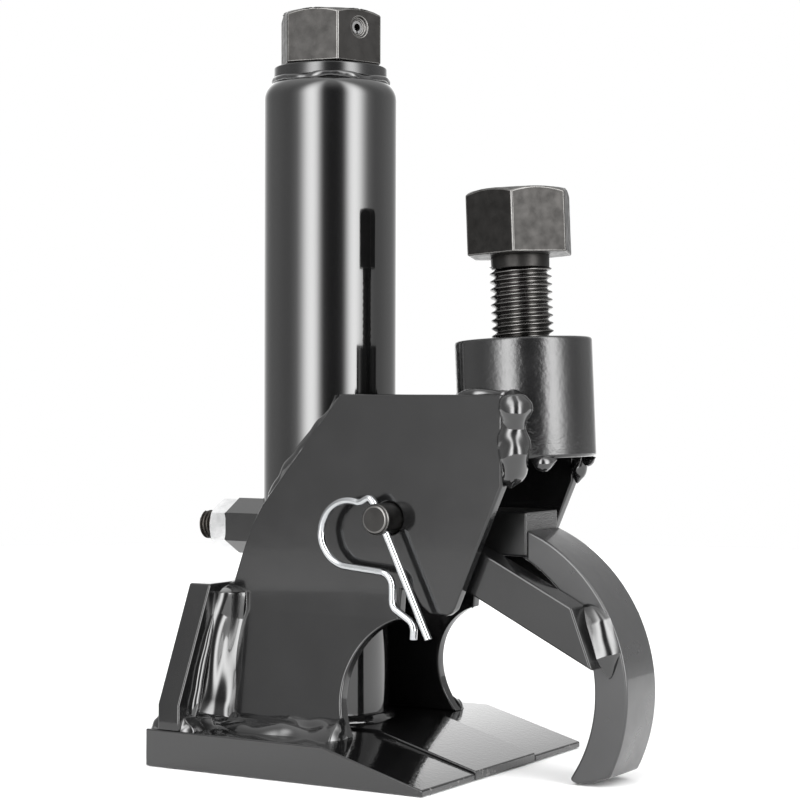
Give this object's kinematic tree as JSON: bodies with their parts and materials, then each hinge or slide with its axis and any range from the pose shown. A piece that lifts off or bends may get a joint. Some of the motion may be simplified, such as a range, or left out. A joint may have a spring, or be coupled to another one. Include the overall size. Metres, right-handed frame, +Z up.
{
  "type": "bead breaker",
  "caption": "Tyre bead breaker: a screw-driven ram pushes a wedge tongue out of a forked base, while a clamp screw closes a pivoting hook on the rim.",
  "frame": {"origin": "on the floor, in the tool's underside, below the middle of the barrel", "axes": "+Z up along the barrel, +X forward from the barrel to the hook, +Y to the pivot pin's head"},
  "size_m": [0.2013, 0.129, 0.3005],
  "materials": {
    "frame_paint": "gloss black paint",
    "weld_paint": "gloss black paint over a rippled weld bead",
    "barrel_paint": "smooth gloss black paint",
    "ram_paint": "smooth gloss black paint",
    "base_paint": "gloss black paint",
    "tongue_paint": "gloss black paint",
    "boss_paint": "black paint with orange peel",
    "hook_paint": "semi-gloss black paint",
    "arm_paint": "semi-gloss black paint",
    "bronze": "turned bronze",
    "guide_steel": "blackened thread",
    "zinc": "bright zinc plate",
    "clip_zinc": "bright zinc plated spring wire",
    "drive_hex_steel": "blackened steel with worn edges",
    "spring_pin": "dark spring steel",
    "screw_steel": "oiled steel",
    "pin_steel": "bright steel",
    "clamp_bolt_steel": "blackened steel with worn edges",
    "tip_steel": "hardened steel",
    "pivot_steel": "blackened steel"
  },
  "bodies": {
    "frame": {"base_plate": "base_paint", "heel_plate": "frame_paint", "side_plate_front": "frame_paint", "side_plate_rear": "frame_paint", "barrel_tube": "barrel_paint", "barrel_cap": "barrel_paint", "thrust_ring": "frame_paint", "guide_weld_nut": "frame_paint", "guide_bolt": "guide_steel", "guide_lock_nut": "zinc", "clamp_boss": "boss_paint", "base_welds": "weld_paint", "heel_welds": "weld_paint", "boss_welds": "weld_paint", "barrel_welds": "weld_paint", "thrust_washer": "bronze"},
    "drive": {"drive_hex": "drive_hex_steel", "drive_hex_pin": "spring_pin", "drive_screw": "screw_steel"},
    "ram": {"ram_tube": "ram_paint", "ram_nut": "bronze", "ram_nut_pins": "pin_steel", "ram_foot_weld": "weld_paint", "push_tongue": "tongue_paint"},
    "clamp_button": {"clamp_tip": "tip_steel"},
    "clamp_screw": {"clamp_bolt": "clamp_bolt_steel"},
    "hook": {"hook_claw": "hook_paint", "hook_lever": "hook_paint", "hook_arm_front": "arm_paint", "hook_arm_rear": "arm_paint", "hook_welds": "weld_paint"},
    "pin": {"pivot_pin": "pivot_steel"},
    "clip": {"r_clip": "clip_zinc"}
  },
  "joints": [
    {"name": "drive_screw_turn", "type": "hinge", "parent": "frame", "child": "drive", "pos_m": [0, 0, 0.28], "axis": [0, 0, -1], "range_deg": [0, 5045]},
    {"name": "ram_slide", "type": "slide", "parent": "frame", "child": "ram", "axis": [0, 0, -1], "range_m": [0, 0.07]},
    {"name": "clamp_slide", "type": "slide", "parent": "frame", "child": "clamp_button", "axis": [0.0436, 0, -0.999], "range_m": [-0.024, 0.032]},
    {"name": "clamp_screw_turn", "type": "hinge", "parent": "clamp_button", "child": "clamp_screw", "pos_m": [0.0909, 0, 0.1214], "axis": [0.0436, 0, -0.999], "range_deg": [-2885, 3845]},
    {"name": "hook_swing", "type": "hinge", "parent": "frame", "child": "hook", "pos_m": [0.048, 0, 0.0985], "axis": [0, 1, 0], "range_deg": [-13.9, 18.5]},
    {"name": "pin_turn", "type": "hinge", "parent": "frame", "child": "pin", "pos_m": [0.048, 0, 0.0985], "axis": [0, 1, 0], "continuous": true},
    {"name": "clip_swing", "type": "hinge", "parent": "pin", "child": "clip", "pos_m": [0.048, -0.0385, 0.0985], "axis": [-0.4305, 0, 0.9026], "range_deg": [-5, 120]}
  ],
  "couplings": [
    {"joint": "drive_screw_turn", "follows": "ram_slide", "rad_per_m": 1256.6},
    {"joint": "clamp_screw_turn", "follows": "clamp_slide", "rad_per_m": 2094.4},
    {"joint": "hook_swing", "follows": "clamp_slide", "rad_per_m": 10}
  ]
}
